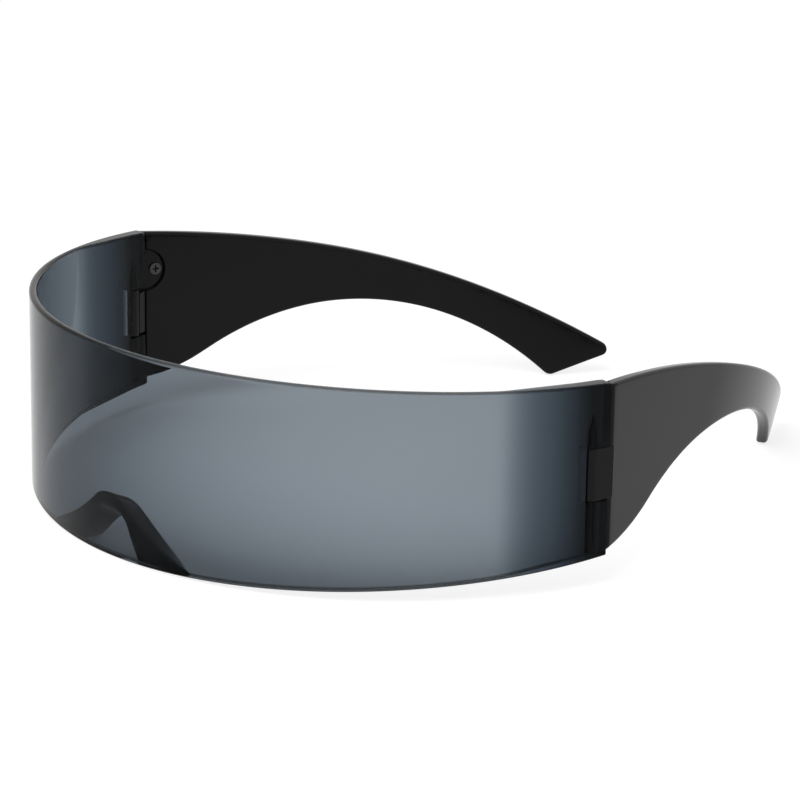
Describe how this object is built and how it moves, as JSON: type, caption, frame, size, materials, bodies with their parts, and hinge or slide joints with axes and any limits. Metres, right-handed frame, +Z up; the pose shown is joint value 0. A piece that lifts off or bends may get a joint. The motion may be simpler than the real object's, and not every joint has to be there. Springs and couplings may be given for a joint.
{
  "type": "shield sunglasses",
  "caption": "Shield sunglasses with a one-piece curved smoke lens, a nose saddle behind it and temples that fold inwards on pins through the lens ends.",
  "frame": {"origin": "bottom centre of the open glasses' box, on the surface they stand on, under the wearer's head", "axes": "+Y from the lens back along the temples, +Z up, +X to the wearer's left"},
  "size_m": [0.146, 0.1628, 0.0419],
  "materials": {
    "smoke_lens": "polished, clear smoke tint",
    "black_saddle": "gloss",
    "black_temple": "gloss",
    "steel": "blackened, satin"
  },
  "bodies": {
    "front": {"shield_lens": "smoke_lens", "nose_bridge": "black_saddle", "left_hinge_pin": "steel", "right_hinge_pin": "steel"},
    "left_arm": {"left_temple": "black_temple", "left_temple_screw": "steel"},
    "right_arm": {"right_temple": "black_temple", "right_temple_screw": "steel"}
  },
  "joints": [
    {"name": "left_temple_fold", "type": "hinge", "parent": "front", "child": "left_arm", "pos_m": [0.07069, -0.02066, 0.022], "axis": [0, 0, 1], "range_deg": [0, 92]},
    {"name": "right_temple_fold", "type": "hinge", "parent": "front", "child": "right_arm", "pos_m": [-0.07069, -0.02066, 0.022], "axis": [0, 0, -1], "range_deg": [0, 75]}
  ]
}
